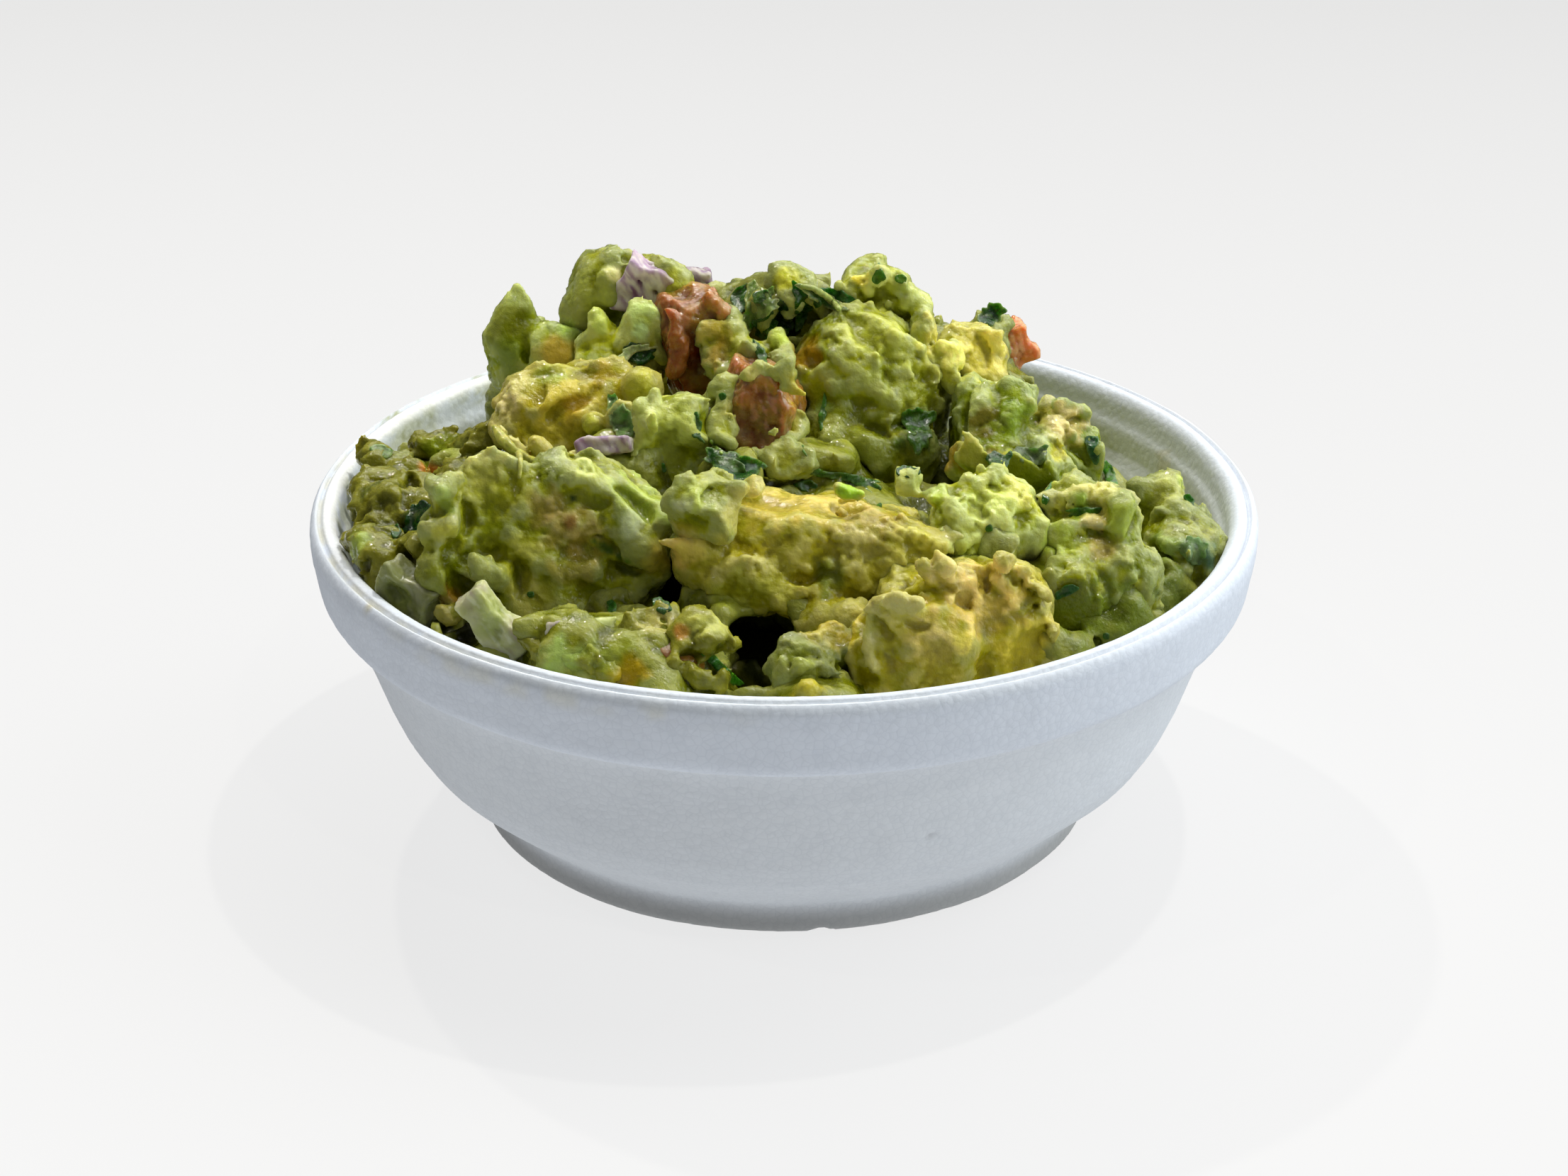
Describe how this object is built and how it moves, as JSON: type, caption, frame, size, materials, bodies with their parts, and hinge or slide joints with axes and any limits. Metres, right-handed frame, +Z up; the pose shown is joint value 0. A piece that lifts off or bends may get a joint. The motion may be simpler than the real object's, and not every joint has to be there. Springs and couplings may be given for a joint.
{
  "type": "guacamole in a foam bowl",
  "caption": "Chunky guacamole heaped above the rim of a round white foam bowl, with avocado chunks, diced tomato and red onion bedded in green mash.",
  "frame": {"origin": "centre of the bowl's foot, on the surface it stands on", "axes": "+Z up along the bowl's axis; the pictured side faces -Y, with +X to its right"},
  "size_m": [0.15, 0.15, 0.0855],
  "materials": {
    "foam": "expanded polystyrene foam, fine bead texture, stained by the food at the lip",
    "mash": "wet mashed avocado, lumpy, stands in for food",
    "avocado_green": "moist avocado flesh, green, stands in for food",
    "avocado_yellow": "moist avocado flesh, yellow, stands in for food",
    "tomato": "wet cut tomato, stands in for food",
    "onion_red": "wet red onion, stands in for food",
    "onion_pale": "wet pale onion, stands in for food"
  },
  "bodies": {
    "root": {"bowl": "foam", "guacamole": "mash", "avocado_1": "avocado_green", "avocado_2": "avocado_yellow", "avocado_3": "avocado_yellow", "avocado_4": "avocado_green", "avocado_5": "avocado_green", "avocado_6": "avocado_green", "avocado_7": "avocado_green", "avocado_8": "avocado_green", "avocado_9": "avocado_yellow", "avocado_10": "avocado_green", "avocado_11": "avocado_green", "avocado_12": "avocado_green", "avocado_13": "avocado_green", "avocado_14": "avocado_green", "avocado_15": "avocado_green", "avocado_16": "avocado_yellow", "avocado_17": "avocado_green", "avocado_18": "avocado_green", "avocado_19": "avocado_yellow", "avocado_20": "avocado_green", "avocado_21": "avocado_green", "tomato_1": "tomato", "tomato_2": "tomato", "tomato_3": "tomato", "tomato_4": "tomato", "tomato_5": "tomato", "onion_1": "onion_red", "onion_2": "onion_pale", "onion_3": "onion_pale", "onion_4": "onion_red", "onion_5": "onion_pale", "onion_6": "onion_red"}
  },
  "joints": []
}
